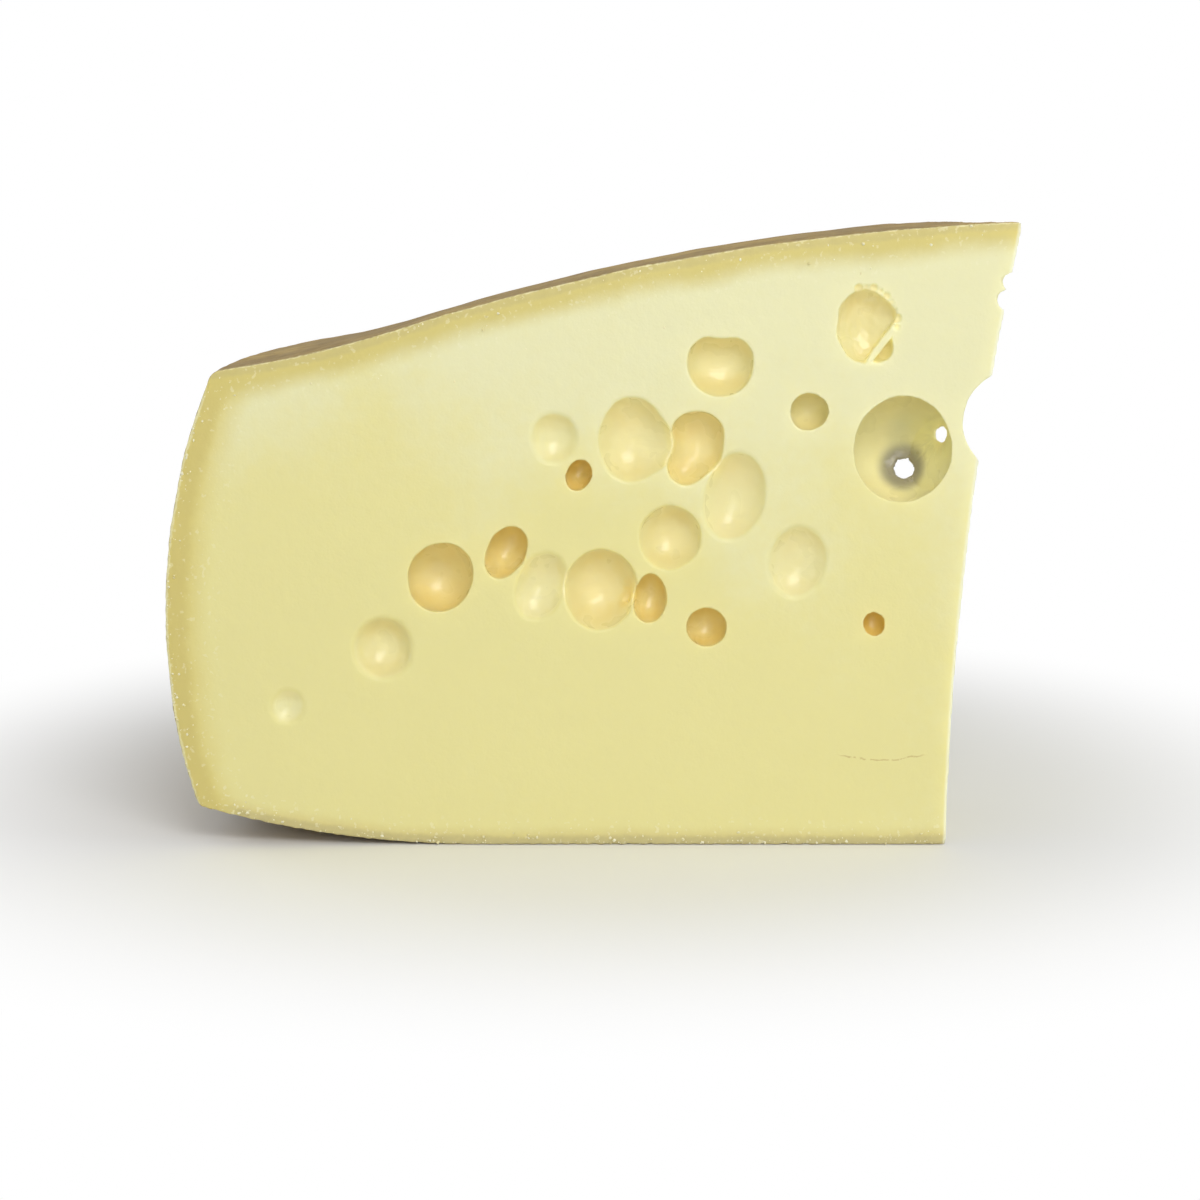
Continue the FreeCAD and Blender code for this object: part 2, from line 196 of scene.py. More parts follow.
tip_radius = RIM_RADIUS - CHUNK_LENGTH
foot = np.array([-(tip_radius + CUT_LEAN), 0.0])
head = np.array([-tip_radius, CROWN_HEIGHT])
half_edge = np.linalg.norm(head - foot) / 2
edge_outward = unit([head[1] - foot[1], foot[0] - head[0]])
edge_centre = (foot + head) / 2 + edge_outward * math.sqrt(CUT_ROUND ** 2 - half_edge ** 2)


def cut_frame(degrees):
    """The directions towards the wheel's axis and out of the cheese, for an upright cut."""
    turn = math.radians(degrees)
    towards = np.array([math.cos(turn), -math.sin(turn), 0.0])
    out = np.array([math.sin(turn), math.cos(turn), 0.0])
    return towards, out


def cut_depths(points):
    """Depths behind the front, the oblique and the back cut."""
    x = points[:, 0] - axis_x
    y = points[:, 1] - axis_y
    back_out = cut_frame(WEDGE_ANGLE)[1]
    slant = math.radians(OBLIQUE_ANGLE)
    edge_x = x + y / math.tan(slant)
    hollow = CUT_ROUND - np.hypot(edge_x - edge_centre[0], points[:, 2] - edge_centre[1])
    ripple = WIRE_RIPPLE * wander(points, WIRE_RIPPLE_LONG, seed=4)
    drift = WIRE_BITE + WIRE_DRIFT * wander(points, WIRE_DRIFT_LONG, seed=3) + ripple
    front = -y + drift
    back = x * back_out[0] + y * back_out[1] + drift
    return front, hollow * math.sin(slant) + drift, back


def round_max(first, second, radius):
    """The larger of two depths, with the corner between the two surfaces rounded."""
    reach = np.hypot(np.maximum(first + radius, 0), np.maximum(second + radius, 0))
    return np.minimum(np.maximum(first, second), -radius) + reach


def round_min(first, second, radius):
    return -round_max(-first, -second, radius)


def ease(values, start, stop):
    """0 up to start, 1 from stop on, and a smooth rise between."""
    share = np.clip((values - start) / (stop - start), 0, 1)
    return share * share * (3 - 2 * share)


def whole_rind(top, rim, under):
    """Depth under the rind all round, with its edges worn."""
    return round_max(round_max(top, rim, TOP_EDGE_WORN), under, BOTTOM_EDGE_WORN)


def chunk_depth(points):
    """Depth inside the chunk as if it had no eyes."""
    top, rim, under = rind_depths(points)
    front, oblique, back = cut_depths(points)
    rind = whole_rind(top, rim, under)
    cuts = round_max(round_max(front, oblique, CUT_CORNER), back, CUT_CORNER)
    near_corner = ease(np.minimum(rind, cuts), -CRUMBLE_REACH, -0.5)
    crumble = CRUMBLE * near_corner * (1 + wander(points, CRUMBLE_LONG, seed=5))
    return round_max(rind, cuts, RIND_CORNER) + crumble


# The eyes
# --------------------------------------------------
# Gas bubbles in the paste, opened by the cuts. Those that the cut only grazed are shallow
# dishes with soft lips. The deep ones have crisp lips and darker, ochre walls. Bubbles that
# grew together are one eye of two or three lobes.

FRONT = "front"
BACK = "back"
OBLIQUE = "oblique"
CUT_TURNS = {FRONT: 0.0, BACK: WEDGE_ANGLE, OBLIQUE: OBLIQUE_ANGLE}
WALL_SWELL_LONG = 15.0
WALL_RIPPLE = 0.3
WALL_RIPPLE_LONG = 5.5
TORN_LONG = 6.0
TORN_FINE_LONG = 2.6
FLAP_ROUND = 0.3
FLAP_WAVE = 0.3
FLAP_WAVE_LONG = 5.0


def on_cut(cut, along, level, sunk):
    """A place in the frame, from its place on a cut and its depth behind it.

    Along the front and the back cut it is measured from the rim's belly, and along the
    oblique cut from the front edge.
    """
    towards, out = cut_frame(CUT_TURNS[cut])
    if cut == FRONT:
        out = -out
    if cut == OBLIQUE:
        reach = math.sqrt(CUT_ROUND ** 2 - (level - edge_centre[1]) ** 2)
        start = np.array([edge_centre[0] - reach, 0.0, 0.0])
        place = start - towards * along
    else:
        place = towards * (along - RIM_RADIUS)
    return place - out * sunk + [axis_x, axis_y, level]


def bubble(cut, along, level, half_width, half_height, deep, sunk, tilt=0.0):
    """An oval bubble, from the size of its mouth on the cut, its half depth and how far its
    centre lies behind the cut. The tilt leans its head towards the wheel's axis."""
    towards, out = cut_frame(CUT_TURNS[cut])
    lean = math.radians(tilt)
    up = np.array([0.0, 0.0, 1.0])
    wide_axis = towards * math.cos(lean) - up * math.sin(lean)
    tall_axis = up * math.cos(lean) + towards * math.sin(lean)
    mouth = math.sqrt(1 - (sunk / deep) ** 2) if abs(sunk) < deep else 1.0
    return {
        "centre": on_cut(cut, along, level, sunk),
        "axes": np.array([wide_axis, tall_axis, out]),
        "half": np.array([half_width / mouth, half_height / mouth, deep]),
    }


eyes = []


def eye(lip, ochre, *bubbles, rough=0.0, wavy=0.35, spares=None, leaves=0.0,
        flap=None, meet=3.5):
    """List an eye: the roundness of its lip, how ochre its walls are, and its bubbles.

    It leaves a thin wall before the depth that it spares. A flap is a strip of paste that
    crosses it, given by its two ends and half its width. Its lobes meet in a round corner.
    """
    centre = np.mean([b["centre"] for b in bubbles], axis=0)
    reach = max(np.linalg.norm(b["centre"] - centre) + max(b["half"]) for b in bubbles)
    eyes.append({"lip": lip, "ochre": ochre, "bubbles": bubbles, "rough": rough,
                 "wavy": wavy, "spares": spares, "leaves": leaves, "flap": flap, "meet": meet,
                 "centre": centre, "reach": reach + lip + 3.0, "seed": 100 + len(eyes)})
    return eyes[-1]


def eye_depth(points, one):
    """How far points lie outside an eye's bubbles, negative inside them."""
    kind = points.dtype
    depth = None
    for b in one["bubbles"]:
        local = (points - b["centre"].astype(kind)) @ b["axes"].T.astype(kind)
        scaled = local / b["half"].astype(kind)
        size = np.linalg.norm(scaled, axis=1)
        steep = np.linalg.norm(scaled / b["half"].astype(kind), axis=1)
        this = size * (size - 1) / np.maximum(steep, 1e-6)
        depth = this if depth is None else round_min(depth, this, one["meet"])
    ripple = WALL_RIPPLE * wander(points, WALL_RIPPLE_LONG, one["seed"] + 200)
    uneven = wander(points, WALL_SWELL_LONG, one["seed"]) + ripple
    depth = depth + one["wavy"] * uneven
    if one["rough"]:
        torn = wander(points, TORN_LONG, seed=7) + 0.5 * wander(points, TORN_FINE_LONG, seed=8)
        depth = depth + one["rough"] * torn
    if one["flap"]:
        first, second, half = one["flap"]
        run = unit(second - first)
        across = np.cross(run, [0.0, 1.0, 0.0])
        offset = points - first
        half_run = np.linalg.norm(second - first) / 2
        beyond = np.maximum(np.abs((points - (first + second) / 2) @ run) - half_run, 0)
        before = np.maximum(first[1] - points[:, 1], 0)
        aside = np.sqrt((offset @ across) ** 2 + before ** 2 + beyond ** 2)
        strip = half - aside + FLAP_WAVE * wander(points, FLAP_WAVE_LONG, seed=9)
        depth = round_max(depth, strip, FLAP_ROUND)
    return depth


# On the front cut, from the rim to the right.
eye(2.0, 0.10, bubble(FRONT, 49.0, 58.1, 6.2, 6.4, 7.8, -4.2))
eye(2.2, 0.20, bubble(FRONT, 88.0, 82.0, 11.4, 12.2, 12.5, -3.0))
eye(0.9, 0.38, bubble(FRONT, 110.8, 110.3, 12.4, 13.4, 14.5, 5.5),
    bubble(FRONT, 114.0, 113.6, 9.3, 9.7, 11.0, 4.0))
eye(0.8, 0.58, bubble(FRONT, 138.5, 122.0, 7.4, 9.6, 10.5, 4.0, 25.0),
    bubble(FRONT, 134.7, 115.8, 4.9, 5.0, 6.5, 2.5))
eye(1.4, 0.20, bubble(FRONT, 151.9, 107.5, 9.9, 14.0, 10.0, -3.0, 20.0))
eye(1.1, 0.32, bubble(FRONT, 175.7, 106.0, 14.5, 16.4, 14.5, -1.0, 8.0))
eye(0.8, 0.60, bubble(FRONT, 196.1, 102.8, 5.9, 9.3, 10.0, 3.0),
    bubble(FRONT, 194.3, 98.6, 4.4, 5.4, 7.0, 2.5))
eye(0.8, 0.62, bubble(FRONT, 218.4, 90.4, 7.8, 7.6, 9.5, 3.5))
eye(0.5, 1.00, bubble(FRONT, 286.0, 91.8, 4.0, 4.3, 5.5, 3.6))
eye(0.5, 0.80, bubble(FRONT, 166.9, 152.2, 4.8, 5.8, 7.5, 4.2, 25.0))
eye(1.6, 0.12, bubble(FRONT, 157.2, 167.2, 9.0, 10.0, 8.5, -2.8))
eye(1.2, 0.22, bubble(FRONT, 188.4, 166.5, 13.4, 17.0, 13.5, -2.5),
    bubble(FRONT, 196.6, 164.0, 8.8, 9.6, 10.5, -2.5))
eye(1.0, 0.40, bubble(FRONT, 214.2, 168.5, 10.2, 9.4, 10.5, 1.5),
    bubble(FRONT, 209.8, 156.3, 7.7, 8.0, 9.0, 1.0),
    bubble(FRONT, 215.4, 161.5, 8.8, 8.7, 10.0, 1.2))
eye(1.3, 0.20, bubble(FRONT, 229.3, 143.6, 12.4, 18.0, 11.5, -3.2, 12.0))
eye(1.1, 0.28, bubble(FRONT, 203.8, 127.0, 12.5, 12.9, 13.4, -2.5))
eye(1.0, 0.20, bubble(FRONT, 218.3, 197.8, 8.0, 9.3, 10.0, 0.8),
    bubble(FRONT, 228.3, 197.2, 7.9, 9.8, 10.0, 0.8),
    bubble(FRONT, 223.0, 193.7, 10.5, 9.9, 10.5, 0.8), meet=4.0)
eye(0.8, 0.15, bubble(FRONT, 258.6, 177.8, 7.2, 6.9, 8.6, 4.8))
eye(1.5, 0.20, bubble(FRONT, 254.8, 117.3, 11.4, 14.6, 10.2, -3.4, 10.0))

# The big eye at the right. It comes so near to the oblique cut and the bite in its edge, and
# to the second eye behind, that only thin walls are left, and two of them have a hole.
side_hole = on_cut(FRONT, 314.2, 166.0, 21.7)
lower_hole = on_cut(FRONT, 299.6, 151.6, 28.6)
big_eye = eye(0.8, -0.10, bubble(FRONT, 296.2, 162.7, 19.0, 20.8, 22.0, 10.5), wavy=0.25,
              leaves=1.3,
              spares=lambda p: -cut_depths(p)[1] - 0.2 * np.linalg.norm(p - side_hole, axis=1))
eye(0.35, 0.60, bubble(OBLIQUE, 45.4, 145.6, 13.0, 13.0, 13.0, 0.0), wavy=0.25, leaves=1.1,
    spares=lambda p: eye_depth(p, big_eye))
eye(0.7, 0.15, bubble(OBLIQUE, -0.6, 173.5, 16.7, 16.7, 21.0, -12.7), leaves=1.5,
    spares=lambda p: eye_depth(p, big_eye))
eye(0.3, 0.10, bubble(FRONT, 299.6, 151.6, 4.2, 4.8, 4.4, 28.6, -20.0), wavy=0.2, rough=0.45)
eye(0.3, 0.10, bubble(FRONT, 314.2, 166.0, 2.4, 3.5, 6.0, 21.7, 15.0), wavy=0.2, rough=0.35)

# The torn eye near the top, with a strip of its lid still across it and a ragged side.
eye(0.45, 0.24, bubble(FRONT, 280.2, 211.8, 11.2, 14.9, 10.5, -1.0),
    bubble(FRONT, 286.4, 214.4, 7.0, 7.2, 8.0, -0.6),
    bubble(FRONT, 286.4, 203.4, 5.2, 6.4, 6.5, -0.2),
    rough=0.4, meet=1.5,
    flap=(on_cut(FRONT, 295.8, 216.4, 0.6), on_cut(FRONT, 282.2, 197.8, 1.9), 1.25))
pick = np.random.default_rng(12)
for turn in np.radians(np.linspace(-5, 105, 9)):
    size = pick.uniform(1.0, 2.1)
    along = 280.8 + 12.2 * math.cos(turn)
    level = 212.5 + 14.4 * math.sin(turn)
    eye(0.3, 0.3, bubble(FRONT, along, level, size, size, size, 0.0), wavy=0.3)

# The stepped nick in the right-hand edge.
eye(0.25, 0.0, bubble(OBLIQUE, 0.0, 229.0, 5.0, 3.6, 5.6, -1.7), wavy=0.15, rough=0.2)
eye(0.25, 0.0, bubble(OBLIQUE, 0.2, 222.0, 6.0, 4.0, 6.2, -1.9), wavy=0.15, rough=0.2)

# On the oblique cut, one bubble each, listed by lip, ochre and the bubble's sizes.
OBLIQUE_EYES = (
    (1.5, 0.25, 90.0, 161.2, 12.0, 12.0, 12.5, -3.5),
    (0.7, 0.80, 109.0, 112.6, 6.9, 6.9, 7.5, 3.0),
    (0.7, 0.85, 28.0, 83.2, 8.8, 8.8, 9.0, 2.0),
    (0.7, 0.75, 62.0, 202.2, 7.4, 7.4, 8.0, 3.0),
    (0.7, 0.70, 71.0, 104.9, 9.9, 13.4, 11.0, 1.5, -12.0),
    (1.6, 0.25, 50.0, 52.5, 8.6, 7.2, 7.0, -3.0),
)
for lip, ochre, *mouth in OBLIQUE_EYES:
    eye(lip, ochre, bubble(OBLIQUE, *mouth))

# On the back cut, listed the same way, from the rim towards the wheel's axis.
BACK_EYES = (
    (2.2, 0.20, 42.7, 102.4, 8.8, 8.8, 9.5, -3.5),
    (0.6, 0.90, 69.0, 134.3, 13.2, 13.2, 13.5, 3.0),
    (0.7, 0.75, 75.3, 84.4, 8.8, 11.8, 10.0, 2.0, -15.0),
    (1.6, 0.35, 100.4, 115.2, 15.2, 15.2, 15.5, -3.0),
    (0.6, 0.85, 102.9, 163.8, 6.3, 6.3, 7.0, 3.0),
    (2.0, 0.20, 124.2, 143.3, 11.2, 9.4, 9.0, -4.0),
    (1.2, 0.40, 131.8, 88.3, 11.8, 15.2, 11.0, -2.0, 12.0),
    (0.6, 0.85, 143.1, 122.8, 6.9, 6.9, 8.0, 4.0),
    (0.9, 0.55, 148.1, 179.1, 13.4, 10.9, 12.0, 1.0, -20.0),
    (1.6, 0.30, 166.9, 147.1, 14.2, 14.2, 14.5, -3.0),
    (0.7, 0.75, 173.2, 98.5, 9.8, 9.8, 10.0, 2.0),
    (2.2, 0.20, 184.5, 188.1, 8.2, 9.5, 8.0, -4.0),
    (0.7, 0.80, 195.8, 122.8, 10.8, 13.7, 12.0, 2.5, 10.0),
    (0.5, 0.90, 205.8, 163.8, 5.2, 5.2, 6.0, 3.0),
    (2.4, 0.20, 210.8, 92.1, 11.8, 11.8, 13.0, -5.5),
    (0.7, 0.75, 228.4, 138.2, 8.1, 8.1, 8.5, 2.5),
    (0.5, 0.85, 82.8, 181.7, 4.3, 4.3, 5.0, 2.5),
    (2.2, 0.15, 55.2, 57.6, 6.0, 6.0, 7.5, -4.5),
)
for lip, ochre, *mouth in BACK_EYES:
    eye(lip, ochre, bubble(BACK, *mouth))

# A torn patch in the wall of one eye, and crumbs broken out along the edges at the rim.
pick = np.random.default_rng(11)
for _ in range(7):
    size = pick.uniform(0.9, 1.5)
    along = pick.uniform(184.5, 188.0)
    level = pick.uniform(99.0, 108.0)
    sunk = pick.uniform(6.0, 8.5)
    eye(0.3, 0.5, bubble(FRONT, along, level, size, size, size, sunk), wavy=0.2)


def nick_edge(cut, count, smallest, largest):
    """Small bites out of the edge between a cut and the rim."""
    for level in pick.uniform(BOTTOM_EDGE_HEIGHT, CROWN_HEIGHT - TOP_EDGE_DROP, count):
        rise = level - BELLY_HEIGHT
        along = RIM_ROUND - math.sqrt(RIM_ROUND ** 2 - rise ** 2)
        size = pick.uniform(smallest, largest)
        eye(0.3, 0.0, bubble(cut, along - 0.35 * size, level, size, size * pick.uniform(0.8, 1.9),
                             size, -0.35 * size), wavy=0.25)


nick_edge(FRONT, 30, 0.8, 2.0)
nick_edge(BACK, 22, 0.8, 2.0)

SLAB = 20000


def near_eyes(points):
    """Each eye that points come near to, and a mask of those points."""
    low = points.min(axis=0)
    high = points.max(axis=0)
    for one in eyes:
        starts_below = np.all(one["centre"] - one["reach"] < high)
        if starts_below and np.all(one["centre"] + one["reach"] > low):
            near = np.all(np.abs(points - one["centre"]) < one["reach"], axis=1)
            if near.any():
                yield one, near


def cheese_depth(points):
    """Depth inside the cheese, eyes and all, worked out for one slab of points at a time."""
    depth = np.empty(len(points), points.dtype)
    order = np.argsort(points[:, 0])
    for slab in np.array_split(order, len(points) // SLAB + 1):
        some = points[slab]
        these = chunk_depth(some)
        for one, near in near_eyes(some):
            opened = -eye_depth(some[near], one)
            if one["spares"]:
                opened = np.minimum(opened, one["spares"](some[near]) - one["leaves"])
            these[near] = round_max(these[near], opened, one["lip"])
        depth[slab] = these
    return depth


# The cheese's mesh
# --------------------------------------------------
# A net of four-sided faces is spun over the surface where the depth is nought, on a fine
# grid that is filled in only near that surface. The net is drawn onto the surface and
# thinned out where it is flat.

PITCH = 0.75
BLOCK = 5
MOST_TRIANGLES = 190000
LONGEST_MOVE = 0.6
SLOPE_STEP = 0.12
BLOCKS_AT_ONCE = 3000
SKIN_REACH = 1.15


def every_cell(counts):
    """The steps from the first cell of a block to each of its cells."""
    return np.stack(np.meshgrid(*map(np.arange, counts), indexing="ij"), axis=-1).reshape(-1, 3)


def depth_grid(depth_of, pitch):
    """The depths on a fine grid round the cheese, exact only in the blocks near its skin."""
    step = BLOCK * pitch
    counts = np.ceil((highest - lowest) / step).astype(int) + 2
    corner = (lowest + highest) / 2 - counts * step / 2
    blocks = every_cell(counts)
    middles = (corner + (blocks + 0.5) * step).astype(np.float32)
    coarse = depth_of(middles)
    sides = np.where(coarse < 0, np.float32(-step), np.float32(step)).reshape(counts)
    grid = sides.repeat(BLOCK, 0).repeat(BLOCK, 1).repeat(BLOCK, 2)
    skin = blocks[np.abs(coarse) < SKIN_REACH * step]
    inside_block = every_cell([BLOCK] * 3)
    for start in range(0, len(skin), BLOCKS_AT_ONCE):
        places = (skin[start:start + BLOCKS_AT_ONCE, None] * BLOCK + inside_block).reshape(-1, 3)
        points = (corner + places * pitch).astype(np.float32)
        grid[tuple(places.T)] = depth_of(points)
    return grid, corner


LEFT_HANDED = ((1, 1), (0, 1), (0, 0), (1, 0))
RIGHT_HANDED = ((1, 1), (1, 0), (0, 0), (0, 1))


def net_over(grid):
    """Points and four-sided faces over the surface of a grid, in steps of the grid."""
    inside = grid < 0
    count = np.zeros(np.array(grid.shape) - 1, np.uint8)
    offsets = [(i, j, k) for i in (0, 1) for j in (0, 1) for k in (0, 1)]
    for i, j, k in offsets:
        count += inside[i:grid.shape[0] - 1 + i, j:grid.shape[1] - 1 + j, k:grid.shape[2] - 1 + k]
    crossed = (count > 0) & (count < 8)
    cells = np.argwhere(crossed)
    number = np.full(crossed.shape, -1, np.int32)
    number[crossed] = np.arange(len(cells))
    corners = {o: grid[tuple((cells + o).T)] for o in offsets}
    total = np.zeros((len(cells), 3))
    hits = np.zeros(len(cells))
    for axis in range(3):
        for o in offsets:
            if o[axis]:
                continue
            other = tuple(v + (n == axis) for n, v in enumerate(o))
            first, second = corners[o], corners[other]
            cross = (first < 0) != (second < 0)
            share = first[cross] / (first[cross] - second[cross])
            place = cells[cross] + np.array(o, float)
            place[:, axis] += share
            total[cross] += place
            hits[cross] += 1
    faces = []
    for axis in range(3):
        one, two = (axis + 1) % 3, (axis + 2) % 3
        here = [slice(1, -1)] * 3
        beyond = [slice(1, -1)] * 3
        here[axis], beyond[axis] = slice(0, -1), slice(1, None)
        out = inside[tuple(here)] & ~inside[tuple(beyond)]
        back = ~inside[tuple(here)] & inside[tuple(beyond)]
        for mask, order in ((out, LEFT_HANDED), (back, RIGHT_HANDED)):
            places = np.argwhere(mask)
            places[:, one] += 1
            places[:, two] += 1
            quad = []
            for a, b in order:
                cell = places.copy()
                cell[:, one] -= a
                cell[:, two] -= b
                quad.append(number[tuple(cell.T)])
            faces.append(np.stack(quad, axis=1))
    return total / hits[:, None], np.concatenate(faces)


def slope_of(depth_of, points, depths):
    """Which way a depth grows fastest at some points, and how fast."""
    sides = np.eye(3, dtype=points.dtype) * SLOPE_STEP
    return np.stack([depth_of(points + s) - depths for s in sides], axis=1) / SLOPE_STEP


def drawn_onto_surface(depth_of, points, rounds):
    """Points moved along the slope of a depth to where it is nought."""
    points = points.astype(np.float32)
    for _ in range(rounds):
        depths = depth_of(points)
        slope = slope_of(depth_of, points, depths)
        steep = np.maximum((slope ** 2).sum(axis=1), 0.2)
        move = -slope * (depths / steep)[:, None]
        far = np.linalg.norm(move, axis=1)
        points = points + move * np.minimum(1, LONGEST_MOVE / np.maximum(far, 1e-9))[:, None]
    return points


def outwards_at(depth_of, points):
    """Unit vectors that point out of the surface."""
    slope = slope_of(depth_of, points, depth_of(points))
    return slope / np.linalg.norm(slope, axis=1, keepdims=True)


def mesh_of(name, points, faces):
    """A mesh from points in millimetres and faces that all have as many sides."""
    mesh = bpy.data.meshes.new(name)
    mesh.vertices.add(len(points))
    mesh.vertices.foreach_set("co", (points * MM).astype(np.float32).ravel())
    mesh.loops.add(faces.size)
    mesh.loops.foreach_set("vertex_index", faces.astype(np.int32).ravel())
    mesh.polygons.add(len(faces))
    first_corners = np.arange(0, faces.size, faces.shape[1], dtype=np.int32)
    mesh.polygons.foreach_set("loop_start", first_corners)
    mesh.update(calc_edges=True)
    mesh.validate()
    return mesh


def points_of(mesh):
    """A mesh's points in millimetres."""
    flat = np.zeros(len(mesh.vertices) * 3)
    mesh.vertices.foreach_get("co", flat)
    return flat.reshape(-1, 3) / MM


grid, corner = depth_grid(cheese_depth, PITCH)
net_points, net_faces = net_over(grid)
net_points = drawn_onto_surface(cheese_depth, corner + net_points * PITCH, rounds=1)
fine = bpy.data.objects.new("fine_net", mesh_of("fine_net", net_points, net_faces))
bpy.context.scene.collection.objects.link(fine)
thinning = fine.modifiers.new("thinning", "DECIMATE")
thinning.ratio = min(1.0, MOST_TRIANGLES / (2 * len(net_faces)))
bpy.context.view_layer.update()
thinned = fine.evaluated_get(bpy.context.evaluated_depsgraph_get())
cheese_mesh = bpy.data.meshes.new_from_object(thinned)
cheese_mesh.name = "emmental_chunk"
bpy.data.objects.remove(fine)

surface = drawn_onto_surface(cheese_depth, points_of(cheese_mesh), rounds=2)
cheese_mesh.vertices.foreach_set("co", (surface * MM).astype(np.float32).ravel())
cheese_mesh.shade_smooth()

# What the finishes need to know at each point, in millimetres: its depths under the rind,
# and how near it is to the edge of the front and the oblique cut. Then how ochre an eye's
# wall is there, with painted shade added as more ochre at its roof and its floor, and how
# thin the wall is round a hole, where it gets a painted grey shade.
THIN_ROUND_HOLES = ((lower_hole, 5.0, 14.0, 1.0), (side_hole, 5.0, 12.0, 0.55))
ROOF_PAINTED_SHADE = 0.3
FLOOR_PAINTED_SHADE = 0.2


def keep(name, values):
    """Keep one value for each point of the cheese."""
    layer = cheese_mesh.attributes.new(name, "FLOAT", "POINT")
    layer.data.foreach_set("value", np.asarray(values, np.float32))


for name, depths in zip(("under_top", "behind_rim", "above_base"), rind_depths(surface)):
    keep(name, -depths)
keep("under_rind", -whole_rind(*rind_depths(surface)))
front, oblique, _ = cut_depths(surface)
keep("corner_gap", -np.minimum(front, oblique))
in_eye = np.maximum(-chunk_depth(surface), 0)
ochre = np.zeros(len(surface))
weight = np.full(len(surface), 1e-3)
for one, near in near_eyes(surface):
    share = 1 - ease(np.abs(eye_depth(surface[near], one)), 0.5, 3.0)
    half_height = max(b["half"][1] for b in one["bubbles"])
    raised = (surface[near, 2] - one["centre"][2]) / half_height
    # Painted shade: more ochre on the upper wall and on the floor of each eye.
    uneven = ROOF_PAINTED_SHADE * (1 - one["ochre"]) * ease(raised, 0.0, 0.8)
    uneven += FLOOR_PAINTED_SHADE * ease(-raised, 0.2, 0.9)
    ochre[near] += share * (one["ochre"] + uneven)
    weight[near] += share
keep("ochre", ochre / weight)
# Painted shade: how grey the thin walls round the holes are painted.
thin_shade = np.zeros(len(surface))
for hole, near, far, most in THIN_ROUND_HOLES:
    thin_shade = np.maximum(thin_shade, most - most * ease(np.linalg.norm(surface - hole, axis=1), near, far))
keep("thin_shade", thin_shade * ease(in_eye, 1.0, 4.0))

cheese = bpy.data.objects.new("emmental_chunk", cheese_mesh)
bpy.context.scene.collection.objects.link(cheese)
cheese.modifiers.new("even_shading", "WEIGHTED_NORMAL").weight = 50
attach(cheese, "root")
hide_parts("emmental_wedge")

# The crumbs
# --------------------------------------------------
# Dry white crumbs of paste that the knife left along the rind: most at the rim and at the
# foot, few under the top. They stick to the cuts, a little sunk in.

CRUMB_TRIES = 60000
CRUMB_SMALL = 0.2
CRUMB_LARGE = 0.7
CRUMB_REACH = 1.7
CRUMB_SUNK = 0.25
CRUMB_LUMPS = 0.3
CRUMB_KNOBS = 0.15

pick = np.random.default_rng(21)


def tried_places(cut):
    """Random places all over a cut."""
    along = pick.uniform(0, CHUNK_LENGTH, CRUMB_TRIES)
    level = pick.uniform(0, CROWN_HEIGHT, CRUMB_TRIES)
    towards, out = cut_frame(CUT_TURNS[cut])
    places = np.array([axis_x, axis_y, 0]) + towards * (along - RIM_RADIUS)[:, None]
    places[:, 2] = level
    return places


tried = np.concatenate([tried_places(FRONT), tried_places(BACK)])
top, rim, under = rind_depths(tried)
near_rind = np.exp(np.maximum(rim, under) / CRUMB_REACH) + 0.06 * np.exp(top / (4 * CRUMB_REACH))
inside = (top < -0.4) & (rim < -0.4) & (under < -0.5) & (cut_depths(tried)[1] < -2)
spots = tried[inside & (pick.uniform(0, 1, len(tried)) < 0.5 * near_rind)]
spots = drawn_onto_surface(cheese_depth, spots, rounds=3)
spot_out = outwards_at(cheese_depth, spots)

ball = bmesh.new()
bmesh.ops.create_icosphere(ball, subdivisions=2, radius=1.0)
ball_points = np.array([v.co for v in ball.verts])
ball_faces = np.array([[v.index for v in face.verts] for face in ball.faces])
ball.free()

crumb_size = CRUMB_SMALL + (CRUMB_LARGE - CRUMB_SMALL) * pick.power(0.6, len(spots)) ** 2
crumb_shape = crumb_size[:, None] * pick.uniform(0.6, 1.3, (len(spots), 3))
lumps = ball_points[None] * crumb_shape[:, None]
places = spots + spot_out * crumb_size[:, None] * CRUMB_SUNK
crumb_points = (places[:, None] + lumps).reshape(-1, 3)
knobs = CRUMB_KNOBS * wander(crumb_points, 0.45, seed=32)
swelling = 1 + CRUMB_LUMPS * wander(crumb_points, 0.9, seed=31) + knobs
crumb_points = (places[:, None] + lumps * swelling.reshape(len(spots), -1, 1)).reshape(-1, 3)
first_points = np.arange(len(spots))[:, None, None] * len(ball_points)
crumb_faces = (ball_faces[None] + first_points).reshape(-1, 3)
crumb_mesh = mesh_of("rind_crumbs", crumb_points, crumb_faces)
crumb_mesh.shade_smooth()
crumbs = bpy.data.objects.new("rind_crumbs", crumb_mesh)
bpy.context.scene.collection.objects.link(crumbs)
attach(crumbs, "root")

# The finish of the paste
# --------------------------------------------------
# Pale yellow paste, waxy and a little see-through. It is painted paler towards the top and
# to the right, a painted light and shade that darkens its lower left. It drifts slowly
# between a lighter and a deeper yellow, and has a fine, dull grain from the wire.


def colour(red, green, blue):
    """A colour for a shader from its plain 0 to 255 values."""
    shares = [value / 255 for value in (red, green, blue)]
    return (*[s / 12.92 if s <= 0.04045 else ((s + 0.055) / 1.055) ** 2.4 for s in shares], 1.0)


def feed(tree, socket, value):
    """Link a socket to an output, or set it to a plain value."""
    if isinstance(value, bpy.types.NodeSocket):
        tree.links.new(value, socket)
    else:
        socket.default_value = value


def add(tree, kind, inputs=(), **options):
    """Add a node with its options and what goes into its sockets."""
    node = tree.nodes.new(kind)
    for option, value in options.items():
        setattr(node, option, value)
    for name, value in dict(inputs).items():
        feed(tree, node.inputs[name], value)
    return node


def maths(tree, operation, *values):
    """A sum, product or other function of values."""
    return add(tree, "ShaderNodeMath", dict(enumerate(values)), operation=operation).outputs[0]


def times(tree, first, second):
    return maths(tree, "MULTIPLY", first, second)


def plus(tree, first, second):
    return maths(tree, "ADD", first, second)


